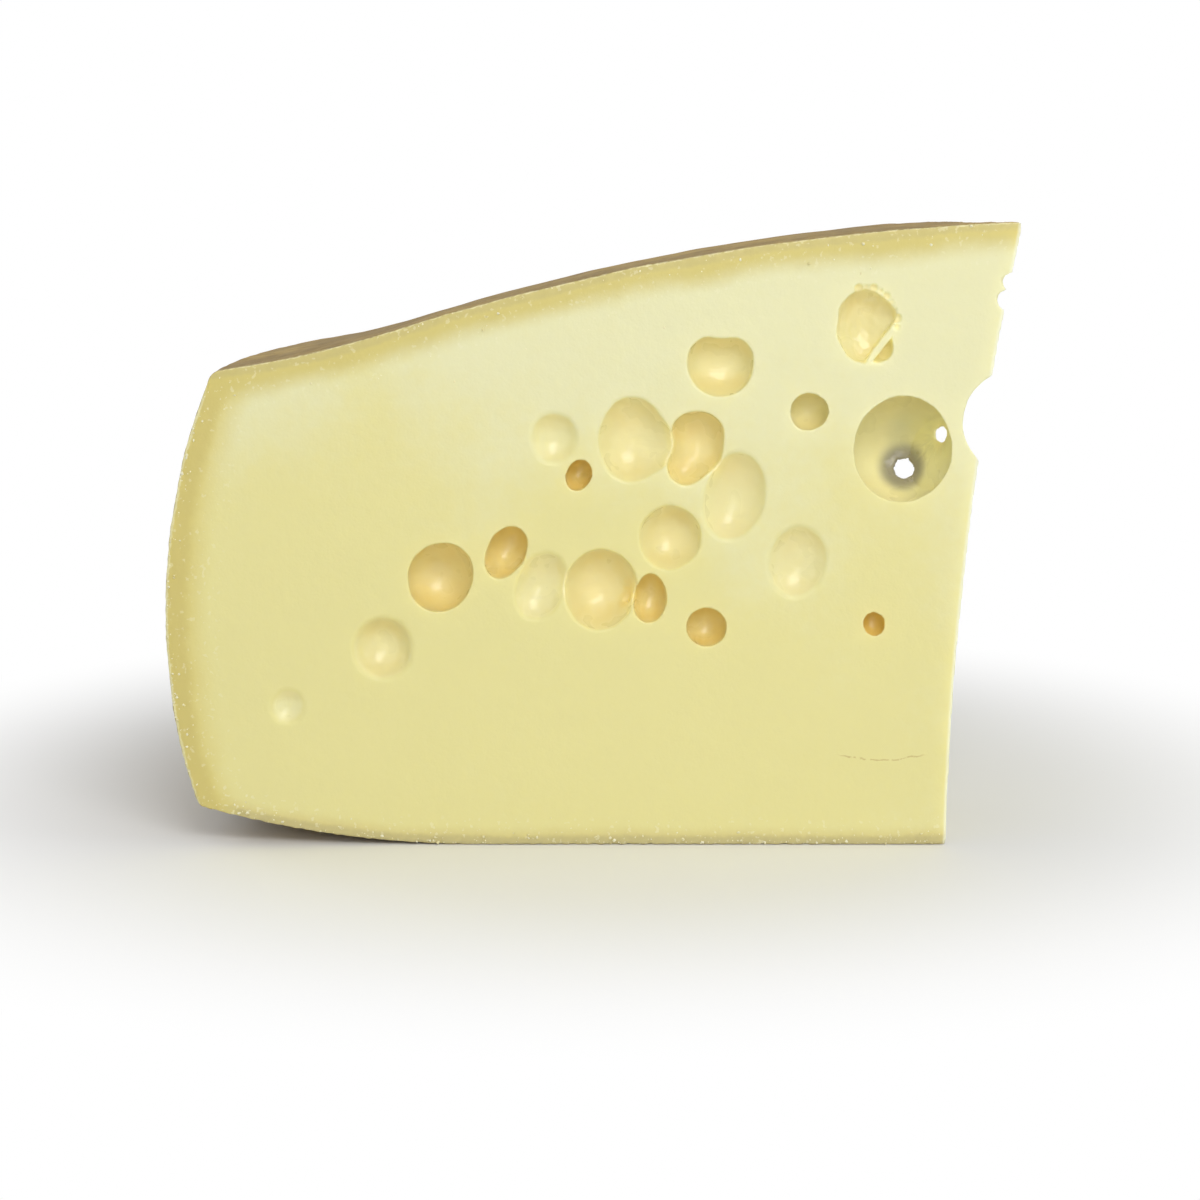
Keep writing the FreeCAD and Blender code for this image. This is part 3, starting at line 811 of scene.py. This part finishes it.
def fade(tree, value, start, stop, first=0.0, last=1.0):
    """A smooth change from the first to the last value as a value goes from start to stop."""
    sockets = {"Value": value, "From Min": start, "From Max": stop, "To Min": first, "To Max": last}
    return add(tree, "ShaderNodeMapRange", sockets, interpolation_type="SMOOTHSTEP").outputs[0]


def blend(tree, share, first, second):
    """Mix two colours."""
    return add(tree, "ShaderNodeMix", {0: share, 6: first, 7: second}, data_type="RGBA").outputs[2]


def mixed(tree, share, first, second):
    """Mix two plain values."""
    return add(tree, "ShaderNodeMix", {0: share, 2: first, 3: second}).outputs[0]


def speckle(tree, place, size, detail=2.0, rough=0.5):
    """Noise whose lumps are about `size` millimetres across."""
    sockets = {"Vector": place, "Scale": 1 / (size * MM), "Detail": detail, "Roughness": rough}
    return add(tree, "ShaderNodeTexNoise", sockets).outputs[0]


def stretched(tree, place, shares):
    """A place with each of its directions multiplied."""
    return add(tree, "ShaderNodeVectorMath", {0: place, 1: shares}, operation="MULTIPLY").outputs[0]


SOCKETS = {"colour": "NodeSocketColor", "value": "NodeSocketFloat", "place": "NodeSocketVector"}


def open_group(name, inputs, outputs):
    """A node group with named sockets: its tree, what comes in and what goes out."""
    tree = bpy.data.node_groups.new(name, "ShaderNodeTree")
    for label, kind in inputs:
        tree.interface.new_socket(name=label, in_out="INPUT", socket_type=SOCKETS[kind])
    for label, kind in outputs:
        tree.interface.new_socket(name=label, in_out="OUTPUT", socket_type=SOCKETS[kind])
    return tree, tree.nodes.new("NodeGroupInput").outputs, tree.nodes.new("NodeGroupOutput").inputs


FINISH = (("Colour", "colour"), ("Roughness", "value"), ("Height", "value"))
PASTE_LIGHT = colour(234, 231, 184)
PASTE_DEEP = colour(232, 224, 156)
DRIFT_SIZE = 70.0
MOTTLE_SIZE = 5.0
GRAIN_SIZE = 0.9

paste_group, given, result = open_group("paste", [("Place", "place")], FINISH)
drift = speckle(paste_group, given["Place"], DRIFT_SIZE)
mottle = speckle(paste_group, given["Place"], MOTTLE_SIZE, 3.0)
grain = speckle(paste_group, given["Place"], GRAIN_SIZE)
parts = add(paste_group, "ShaderNodeSeparateXYZ", {0: given["Place"]}).outputs
share = maths(paste_group, "MULTIPLY_ADD", mottle, 0.25, drift)
# Painted light and shade: paler towards the top and to the right, deeper to the lower left.
share = plus(paste_group, share, fade(paste_group, parts[2], 0.06, CROWN_HEIGHT * MM, 0.45, -0.2))
share = plus(paste_group, share, fade(paste_group, parts[0], 0.0, highest[0] * MM, 0.0, -0.25))
share = fade(paste_group, share, 0.4, 0.95)
feed(paste_group, result["Colour"], blend(paste_group, share, PASTE_LIGHT, PASTE_DEEP))
feed(paste_group, result["Roughness"], fade(paste_group, mottle, 0.3, 0.7, 0.42, 0.54))
relief = maths(paste_group, "MULTIPLY_ADD", mottle, 0.25, times(paste_group, grain, 0.07))
feed(paste_group, result["Height"], relief)

# The finish of the eye walls
# --------------------------------------------------
# Where gas pressed on the paste its skin is smooth and moist, with faint wrinkles that lie
# flat. The walls of deep eyes are ochre, those of grazed ones as pale as the paste. The
# ochre that comes in also holds painted shade at each eye's roof and floor, and walls from
# 8 to 16 mm deep go over into a lighter colour, a painted light against the shade in them.

WALL_PALE = colour(235, 231, 178)
WALL_DEEP_PAINTED_LIGHT = colour(252, 245, 190)
WALL_OCHRE = colour(236, 205, 112)
WRINKLE_SIZE = 6.0
WRINKLES_FLAT = (1.0, 1.0, 2.4)
PATCH_SIZE = 12.0

wall_group, given, result = open_group(
    "eye_wall", [("Place", "place"), ("Ochre", "value"), ("In eye", "value")], FINISH)
flattened = stretched(wall_group, given["Place"], WRINKLES_FLAT)
wrinkle = speckle(wall_group, flattened, WRINKLE_SIZE)
patch = speckle(wall_group, given["Place"], PATCH_SIZE)
deeper = fade(wall_group, given["In eye"], 0.8, 9.0, 0.6, 1.0)
patchy = fade(wall_group, patch, 0.3, 0.7, 0.85, 1.15)
share = times(wall_group, given["Ochre"], times(wall_group, deeper, patchy))
# Painted light: deep walls go over into a lighter colour to make up for the shade in them.
wall_with_painted_light = blend(wall_group, fade(wall_group, given["In eye"], 8.0, 16.0), WALL_PALE, WALL_DEEP_PAINTED_LIGHT)
feed(wall_group, result["Colour"], blend(wall_group, share, wall_with_painted_light, WALL_OCHRE))
feed(wall_group, result["Roughness"], fade(wall_group, patch, 0.3, 0.7, 0.27, 0.29))
feed(wall_group, result["Height"], times(wall_group, wrinkle, 0.22))

# The band under the rind
# --------------------------------------------------
# Along the rind the cut paste has dried: a pale hair line, a dull tan strip, then an ochre
# stain that fades inwards, with white specks in it. Each side of the rind has its widths. At
# the foot the strip is also made darker and wider as painted shade.

BAND_LINE = colour(233, 226, 174)
BAND_SPECK = colour(245, 241, 208)
LINE_STRENGTH = 0.8
STRIP_STRENGTH = 0.85
STAIN_STRENGTH = 0.95
BAND_RAGGED = 1.6
SPECKS_BEYOND = 4.0

band_group, given, result = open_group(
    "rind_band", [("Slow", "value"), ("Sudden", "value"), ("Specks", "value"),
                  ("Depth", "value"), ("Paste", "colour"), ("Line", "value"),
                  ("Strip", "value"), ("Strip colour", "colour"), ("Stain", "value"),
                  ("Stain colour", "colour"), ("Speckled", "value")],
    [("Colour", "colour")])
ragged = maths(band_group, "MULTIPLY_ADD", given["Sudden"], BAND_RAGGED, given["Depth"])
stain_waver = times(band_group, given["Stain"], 0.4)
stain_depth = maths(band_group, "MULTIPLY_ADD", given["Slow"], stain_waver, ragged)
stain_start = times(band_group, given["Stain"], 0.3)
stain = fade(band_group, stain_depth, stain_start, given["Stain"], STAIN_STRENGTH, 0.0)
tinted = blend(band_group, stain, given["Paste"], given["Stain colour"])
half_strip = times(band_group, given["Strip"], 0.5)
strip_depth = maths(band_group, "MULTIPLY_ADD", given["Slow"], half_strip, ragged)
strip = fade(band_group, strip_depth, half_strip, given["Strip"], STRIP_STRENGTH, 0.0)
tinted = blend(band_group, strip, tinted, given["Strip colour"])
half_line = times(band_group, given["Line"], 0.5)
line = fade(band_group, ragged, half_line, given["Line"], LINE_STRENGTH, 0.0)
tinted = blend(band_group, line, tinted, BAND_LINE)
last_specks = plus(band_group, given["Stain"], SPECKS_BEYOND)
near_stain = fade(band_group, given["Depth"], given["Stain"], last_specks, 1.0, 0.0)
specks = times(band_group, fade(band_group, given["Specks"], 0.62, 0.68), near_stain)
specks = times(band_group, specks, given["Speckled"])
feed(band_group, result["Colour"], blend(band_group, specks, tinted, BAND_SPECK))

# The finish of the rind
# --------------------------------------------------
# A dry, brushed, grey-brown skin, blotched where it was wiped and washed, with fine pits
# and wipe marks that run round the wheel.

RIND_BROWN = colour(144, 119, 65)
RIND_GOLD = colour(174, 146, 79)
RIND_GREY = colour(130, 109, 68)
RIND_DUST = colour(188, 167, 113)
BLOTCH_SIZE = 45.0
CLOUD_SIZE = 9.0
PIT_SIZE = 1.6
WIPE_SIZE = 3.2
WIPE_STRETCH = 0.03

skin_group, given, result = open_group("rind_skin", [("Place", "place")], FINISH)
blotch = speckle(skin_group, given["Place"], BLOTCH_SIZE, 4.0, 0.6)
cloud = speckle(skin_group, given["Place"], CLOUD_SIZE, 4.0, 0.6)
pits = speckle(skin_group, given["Place"], PIT_SIZE, 3.0, 0.6)
parts = add(skin_group, "ShaderNodeSeparateXYZ", {0: given["Place"]}).outputs
east = maths(skin_group, "SUBTRACT", parts[0], axis_x * MM)
north = maths(skin_group, "SUBTRACT", parts[1], axis_y * MM)
squares = plus(skin_group, times(skin_group, east, east), times(skin_group, north, north))
away = maths(skin_group, "SQRT", squares)
around = maths(skin_group, "ARCTAN2", north, times(skin_group, east, -1.0))
round_place = add(skin_group, "ShaderNodeCombineXYZ", {
    0: away, 1: times(skin_group, around, WIPE_STRETCH), 2: parts[2]}).outputs[0]
wipes = speckle(skin_group, round_place, WIPE_SIZE, 3.0)
tone = blend(skin_group, fade(skin_group, blotch, 0.35, 0.68), RIND_BROWN, RIND_GOLD)
tone = blend(skin_group, fade(skin_group, cloud, 0.5, 0.75, 0.0, 0.7), tone, RIND_GREY)
tone = blend(skin_group, fade(skin_group, wipes, 0.45, 0.8, 0.0, 0.4), tone, RIND_GOLD)
tone = blend(skin_group, fade(skin_group, pits, 0.6, 0.72, 0.0, 0.45), tone, RIND_DUST)
feed(skin_group, result["Colour"], tone)
feed(skin_group, result["Roughness"], fade(skin_group, cloud, 0.3, 0.7, 0.68, 0.84))
relief = maths(skin_group, "MULTIPLY_ADD", cloud, 0.5, times(skin_group, pits, 0.25))
feed(skin_group, result["Height"], maths(skin_group, "MULTIPLY_ADD", wipes, 0.15, relief))

# The cheese's material
# --------------------------------------------------
# Paste, eye walls, bands and rind go over into each other by the depths kept on the mesh.
# Where a wall is thin, light goes through it, and it is painted greyish as a painted shade
# for the dark behind it. A painted highlight lies along the corner of the front and the
# oblique cut. A hair crack runs low across the front cut.

LIP_STARTS = 0.45
LIP_ENDS = 1.7
THIN_WALL_PAINTED_SHADE = colour(134, 131, 124)
THIN_SHADE_STRENGTH = 0.9
EDGE_PAINTED_HIGHLIGHT = colour(238, 238, 214)
EDGE_HIGHLIGHT_STRENGTH = 0.7
SLOW_SIZE = 26.0
SUDDEN_SIZE = 2.6
SPECK_SIZE = 2.2
CRACK_SHADE = colour(212, 196, 130)
CRACK_MIDDLE = (118.5, 35.5)
CRACK_HALF = 19.0
CRACK_BEND = 0.008
CRACK_WIDE = 0.45
GLOW = 0.6
GLOW_COLOURS = (1.0, 0.9, 0.4)
GLOW_REACH = 0.008
WALL_COAT = 0.15
COAT_ROUGHNESS = 0.1
RELIEF_STRENGTH = 0.8

cheese_material = bpy.data.materials.new("emmental")
cheese_material.use_nodes = True
tree = cheese_material.node_tree
shader = tree.nodes["Principled BSDF"]
place = add(tree, "ShaderNodeTexCoord").outputs["Object"]


def kept(name):
    """A value kept on the cheese's mesh."""
    return add(tree, "ShaderNodeAttribute", attribute_name=name).outputs["Fac"]


def placed(group, **inputs):
    """A node group in a material."""
    return add(tree, "ShaderNodeGroup", {k.replace("_", " "): v for k, v in inputs.items()},
               node_tree=group).outputs


# Depth behind the nearest of the three cuts, in millimetres.
parts = add(tree, "ShaderNodeSeparateXYZ", {0: place}).outputs
east = maths(tree, "SUBTRACT", parts[0], axis_x * MM)
north = maths(tree, "SUBTRACT", parts[1], axis_y * MM)
back_out = cut_frame(WEDGE_ANGLE)[1] / MM
slant = math.radians(OBLIQUE_ANGLE)
beyond_back = maths(tree, "MULTIPLY_ADD", east, back_out[0], times(tree, north, back_out[1]))
behind_back = times(tree, beyond_back, -1.0)
slid = maths(tree, "MULTIPLY_ADD", north, 1 / math.tan(slant), east)
edge_x = maths(tree, "SUBTRACT", slid, edge_centre[0] * MM)
edge_z = maths(tree, "SUBTRACT", parts[2], edge_centre[1] * MM)
squares = maths(tree, "MULTIPLY_ADD", edge_x, edge_x, times(tree, edge_z, edge_z))
past_hollow = maths(tree, "SUBTRACT", maths(tree, "SQRT", squares), CUT_ROUND * MM)
behind_oblique = times(tree, past_hollow, math.sin(slant) / MM)
behind_front = times(tree, north, 1 / MM)
behind_cuts = maths(tree, "MINIMUM", behind_oblique, behind_back)
behind_cuts = maths(tree, "MINIMUM", behind_front, behind_cuts)

paste = placed(paste_group, Place=place)
wall = placed(wall_group, Place=place, Ochre=kept("ochre"), In_eye=behind_cuts)
skin = placed(skin_group, Place=place)
in_eye = fade(tree, behind_cuts, LIP_STARTS, LIP_ENDS)
body = blend(tree, in_eye, paste["Colour"], wall["Colour"])
slow = maths(tree, "SUBTRACT", 0.5, speckle(tree, place, SLOW_SIZE))
sudden = maths(tree, "SUBTRACT", 0.5, speckle(tree, place, SUDDEN_SIZE))
specks = speckle(tree, place, SPECK_SIZE)
BANDS = (
    # At the foot the tan strip is the dried paste's tint, made darker and wider as painted shade.
    ("above_base", 0.2, 5.0, colour(202, 190, 134), 9.0, colour(221, 208, 138), 0.35),
    ("behind_rim", 1.6, 11.0, colour(211, 195, 118), 20.0, colour(222, 208, 128), 0.25),
    ("under_top", 0.7, 4.5, colour(202, 188, 122), 15.0, colour(214, 199, 119), 0.25),
)
for side, line_wide, strip_wide, strip_colour, stain_wide, stain_colour, speckled in BANDS:
    body = placed(band_group, Slow=slow, Sudden=sudden, Specks=specks, Depth=kept(side), Paste=body,
                  Line=line_wide, Strip=strip_wide, Strip_colour=strip_colour, Stain=stain_wide,
                  Stain_colour=stain_colour, Speckled=speckled)["Colour"]
# Painted shade: the thin walls round the holes go grey.
thin_shade = fade(tree, kept("thin_shade"), 0.0, 1.0, 0.0, THIN_SHADE_STRENGTH)
body = blend(tree, thin_shade, body, THIN_WALL_PAINTED_SHADE)
# Painted highlight: a pale line along the corner of the front and the oblique cut.
painted_edge_highlight = fade(tree, kept("corner_gap"), 0.6, 1.8, EDGE_HIGHLIGHT_STRENGTH, 0.0)
body = blend(tree, painted_edge_highlight, body, EDGE_PAINTED_HIGHLIGHT)

# The hair crack: how far a point lies from its middle, and above its bent line.
aside = maths(tree, "MULTIPLY_ADD", parts[0], 1 / MM, -CRACK_MIDDLE[0])
bend = times(tree, times(tree, aside, aside), CRACK_BEND)
jitter = maths(tree, "MULTIPLY_ADD", speckle(tree, place, 5.0, 3.0), 3.0, CRACK_MIDDLE[1] - 1.5)
level = times(tree, parts[2], 1 / MM)
above = maths(tree, "SUBTRACT", level, plus(tree, bend, jitter))
crack = fade(tree, maths(tree, "ABSOLUTE", above), 0.3 * CRACK_WIDE, CRACK_WIDE, 1.0, 0.0)
crack_end = fade(tree, maths(tree, "ABSOLUTE", aside), CRACK_HALF - 5, CRACK_HALF, 1.0, 0.0)
crack = times(tree, crack, crack_end)
crack = times(tree, crack, fade(tree, speckle(tree, place, 3.0), 0.42, 0.52))
crack = times(tree, crack, fade(tree, behind_front, 1.0, 3.0, 1.0, 0.0))
body = blend(tree, crack, body, CRACK_SHADE)

ragged = maths(tree, "MULTIPLY_ADD", speckle(tree, place, 2.0), 0.5, kept("under_rind"))
on_rind = fade(tree, ragged, 0.3, 0.75, 1.0, 0.0)
feed(tree, shader.inputs["Base Color"], blend(tree, on_rind, body, skin["Colour"]))
roughness = mixed(tree, in_eye, paste["Roughness"], wall["Roughness"])
feed(tree, shader.inputs["Roughness"], mixed(tree, on_rind, roughness, skin["Roughness"]))
height = mixed(tree, in_eye, paste["Height"], wall["Height"])
height = mixed(tree, on_rind, height, skin["Height"])
bump = add(tree, "ShaderNodeBump", {"Height": height, "Distance": MM, "Strength": RELIEF_STRENGTH})
feed(tree, shader.inputs["Normal"], bump.outputs[0])
shader.subsurface_method = "BURLEY"
shader.inputs["Subsurface Weight"].default_value = GLOW
shader.inputs["Subsurface Radius"].default_value = GLOW_COLOURS
shader.inputs["Subsurface Scale"].default_value = GLOW_REACH
shader.inputs["IOR"].default_value = 1.45
moist = times(tree, in_eye, maths(tree, "SUBTRACT", 1.0, on_rind))
feed(tree, shader.inputs["Coat Weight"], times(tree, moist, WALL_COAT))
shader.inputs["Coat Roughness"].default_value = COAT_ROUGHNESS
cheese_mesh.materials.clear()
cheese_mesh.materials.append(cheese_material)

# The crumbs' material
# --------------------------------------------------
# Dried paste, whiter and duller than the cut, each crumb a shade of its own.

CRUMB_WHITE = colour(247, 243, 214)
CRUMB_CREAM = colour(228, 217, 160)

crumb_material = bpy.data.materials.new("crumb")
crumb_material.use_nodes = True
tree = crumb_material.node_tree
crumb_shader = tree.nodes["Principled BSDF"]
place = add(tree, "ShaderNodeTexCoord").outputs["Object"]
shade = fade(tree, speckle(tree, place, 3.0, 1.0), 0.4, 0.65)
feed(tree, crumb_shader.inputs["Base Color"], blend(tree, shade, CRUMB_WHITE, CRUMB_CREAM))
rubbed = placed(paste_group, Place=place)
feed(tree, crumb_shader.inputs["Roughness"], fade(tree, rubbed["Roughness"], 0.42, 0.54, 0.6, 0.75))
grit = speckle(tree, place, 0.4)
bump = add(tree, "ShaderNodeBump", {"Height": grit, "Distance": MM, "Strength": 0.3})
feed(tree, crumb_shader.inputs["Normal"], bump.outputs[0])
crumb_mesh.materials.append(crumb_material)

# Floor, background and light
# --------------------------------------------------
# A plain pale floor that goes over into a white background. A broad soft lamp stands in
# front, above and to the right, a long low one gives the moist walls their glints, and
# weaker ones fill in from the sides.

floor_mesh = bpy.data.meshes.new("floor")
FLOOR_HALF = 12.0
FLOOR_CORNERS = ((-1, -1), (1, -1), (1, 1), (-1, 1))
FLOOR_OWN = 0.17
FLOOR_WHITE = 0.38
SKY_STRENGTH = 0.47
floor_points = [(x * FLOOR_HALF, y * FLOOR_HALF, 0) for x, y in FLOOR_CORNERS]
floor_mesh.from_pydata(floor_points, [], [(0, 1, 2, 3)])
floor = bpy.data.objects.new("floor", floor_mesh)
bpy.context.scene.collection.objects.link(floor)


def seen_white(tree, shader, share):
    """A shader that the camera, mirrors and glass see as plain white in part."""
    path = add(tree, "ShaderNodeLightPath").outputs
    seen = maths(tree, "MAXIMUM", path["Is Camera Ray"], path["Is Glossy Ray"])
    seen = maths(tree, "MAXIMUM", seen, path["Is Transmission Ray"])
    white = add(tree, "ShaderNodeEmission", {"Color": (1, 1, 1, 1), "Strength": 1.0}).outputs[0]
    return add(tree, "ShaderNodeMixShader", {
        0: times(tree, seen, share), 1: shader, 2: white}).outputs[0]


floor_material = bpy.data.materials.new("floor")
floor_material.use_nodes = True
tree = floor_material.node_tree
floor_shader = tree.nodes["Principled BSDF"]
floor_shader.inputs["Base Color"].default_value = colour(238, 238, 236)
floor_shader.inputs["Roughness"].default_value = 0.7
floor_place = add(tree, "ShaderNodeTexCoord").outputs["Object"]
away = add(tree, "ShaderNodeVectorMath", {0: floor_place}, operation="LENGTH").outputs["Value"]
whitened = seen_white(tree, floor_shader.outputs[0], fade(tree, away, FLOOR_OWN, FLOOR_WHITE))
tree.links.new(whitened, tree.nodes["Material Output"].inputs["Surface"])
floor_mesh.materials.append(floor_material)

world = bpy.data.worlds.new("studio")
bpy.context.scene.world = world
world.use_nodes = True
tree = world.node_tree
sky = tree.nodes["Background"]
sky.inputs["Color"].default_value = colour(250, 250, 250)
sky.inputs["Strength"].default_value = SKY_STRENGTH
tree.links.new(seen_white(tree, sky.outputs[0], 1.0), tree.nodes["World Output"].inputs["Surface"])


def lamp(name, place, watts, width, height):
    """A soft rectangular lamp that faces the middle of the cheese."""
    light = bpy.data.lights.new(name, "AREA")
    light.shape = "RECTANGLE"
    light.size = width
    light.size_y = height
    light.energy = watts
    holder = bpy.data.objects.new(name, light)
    holder.location = place
    middle = (cad_box[0] + cad_box[1]) / 2
    holder.rotation_euler = (middle - holder.location).to_track_quat("-Z", "Y").to_euler()
    bpy.context.scene.collection.objects.link(holder)


lamp("lamp_front", (0.38, -1.4, 1.16), 11.7, 0.9, 0.7)
lamp("lamp_low", (0.1, -1.7, 0.6), 1.9, 0.45, 0.06)
lamp("lamp_right", (1.6, -0.2, 0.9), 4.0, 1.0, 1.0)
lamp("lamp_left", (-1.5, 0.6, 1.1), 5.0, 1.0, 1.0)

bpy.context.scene.view_settings.view_transform = "Standard"
